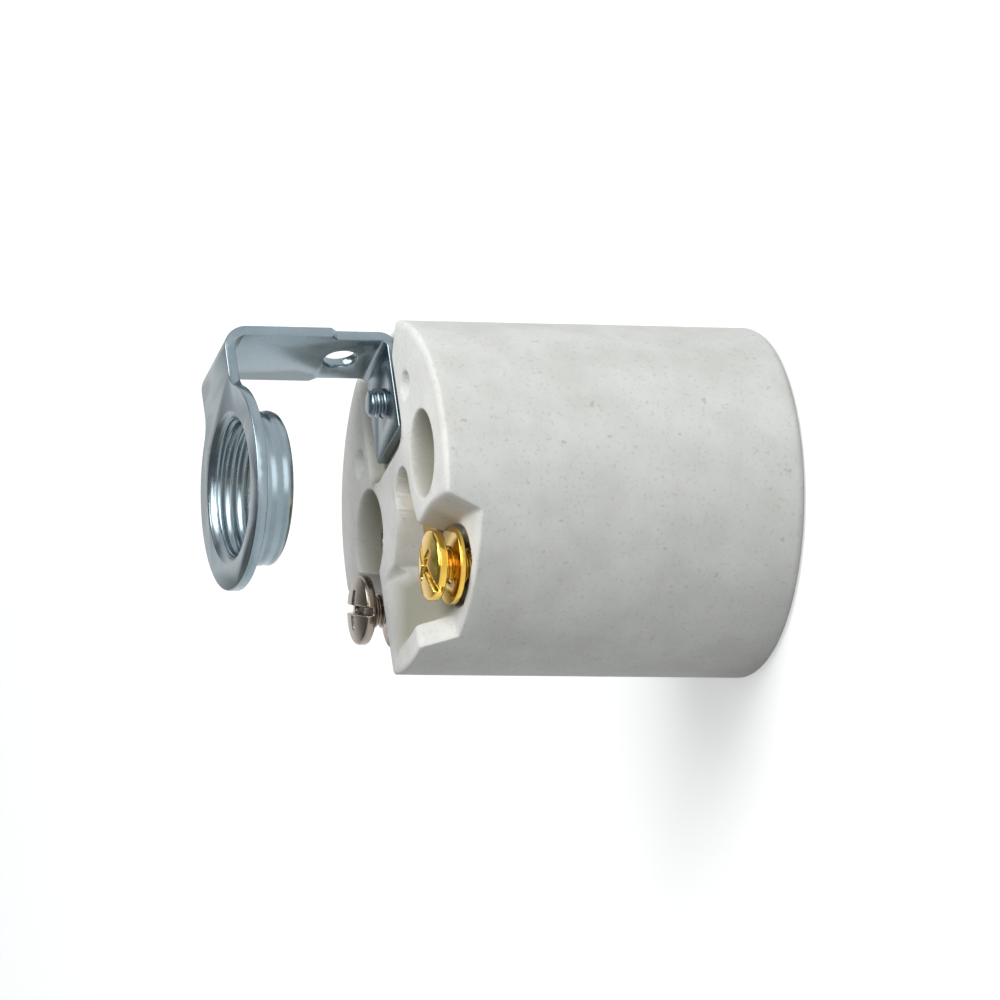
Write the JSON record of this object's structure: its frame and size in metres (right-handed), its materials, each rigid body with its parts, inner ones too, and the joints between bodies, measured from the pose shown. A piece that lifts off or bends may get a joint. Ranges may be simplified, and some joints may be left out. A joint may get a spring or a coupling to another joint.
{
  "type": "lamp holder",
  "caption": "Keyless porcelain lamp holder for a medium screw base lamp, with a bent steel bracket, a threaded pipe collar and back terminal screws.",
  "frame": {"origin": "centre of the mouth rim, where the body stands on its open end", "axes": "+Z along the lamp axis from the mouth to the bracket's ring, +X towards the bracket's strap, +Y away from the picture's viewer"},
  "size_m": [0.0412, 0.0412, 0.0635],
  "materials": {
    "porcelain": "unglazed, fired electrical porcelain, matte off-white with fine specks",
    "zinc_steel": "bright zinc plated cold rolled steel",
    "nickel_brass": "nickel plated brass",
    "brass": "bright rolled brass"
  },
  "bodies": {
    "holder": {"porcelain_body": "porcelain", "bracket": "zinc_steel", "bracket_screw": "zinc_steel", "screw_shell": "nickel_brass", "shell_rivet_free": "nickel_brass", "shell_rivet_neutral": "nickel_brass", "contact_rivet": "brass", "line_terminal_plate": "brass", "neutral_terminal_plate": "nickel_brass"},
    "line_screw": {"line_terminal_screw": "brass"},
    "neutral_screw": {"neutral_terminal_screw": "nickel_brass"},
    "contact_spring": {"centre_contact": "brass"}
  },
  "joints": [
    {"name": "line_screw_travel", "type": "slide", "parent": "holder", "child": "line_screw", "axis": [0, 0, 1], "range_m": [-0.00125, 0.0029]},
    {"name": "neutral_screw_travel", "type": "slide", "parent": "holder", "child": "neutral_screw", "axis": [0, 0, 1], "range_m": [-0.00305, 0.0011]},
    {"name": "contact_press", "type": "slide", "parent": "holder", "child": "contact_spring", "axis": [0, 0, 1], "range_m": [0, 0.0012], "stiffness_N_per_m": 2000, "deforming": ["centre_contact"]}
  ]
}
